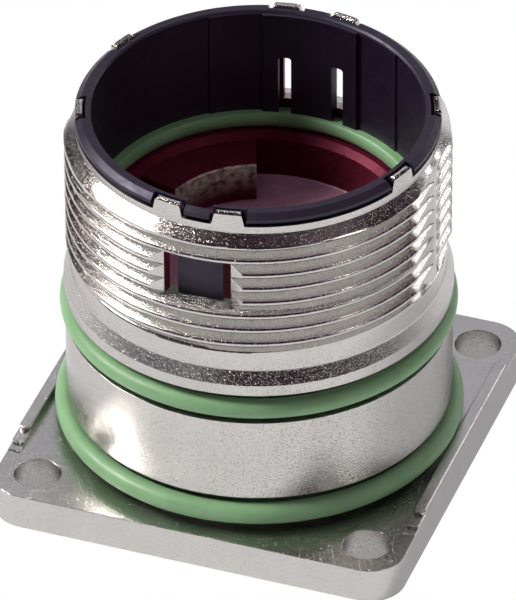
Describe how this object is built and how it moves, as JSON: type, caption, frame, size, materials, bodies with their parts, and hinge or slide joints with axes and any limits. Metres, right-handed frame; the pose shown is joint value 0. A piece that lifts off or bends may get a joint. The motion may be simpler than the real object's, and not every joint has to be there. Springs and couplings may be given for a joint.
{
  "type": "circular connector housing",
  "caption": "Empty flanged housing of a circular connector: threaded metal body with two latch windows, black insulating sleeve and green seal rings.",
  "frame": {"origin": "on the connector's axis at the underside of the flange", "axes": "+Z along the connector's axis from the flange to the threaded mouth; -Y is the side of the keyway; X runs along the flange edge that has no rib"},
  "size_m": [0.0258, 0.0258, 0.0247],
  "materials": {
    "nickel_plated_casting": "satin nickel plate over a zinc casting",
    "black_plastic": "satin moulded plastic",
    "green_rubber": "smooth light green rubber"
  },
  "bodies": {
    "root": {"housing": "nickel_plated_casting", "insulating_sleeve": "black_plastic", "upper_o_ring": "green_rubber", "flange_o_ring": "green_rubber", "inner_seal_ring": "green_rubber"}
  },
  "joints": []
}
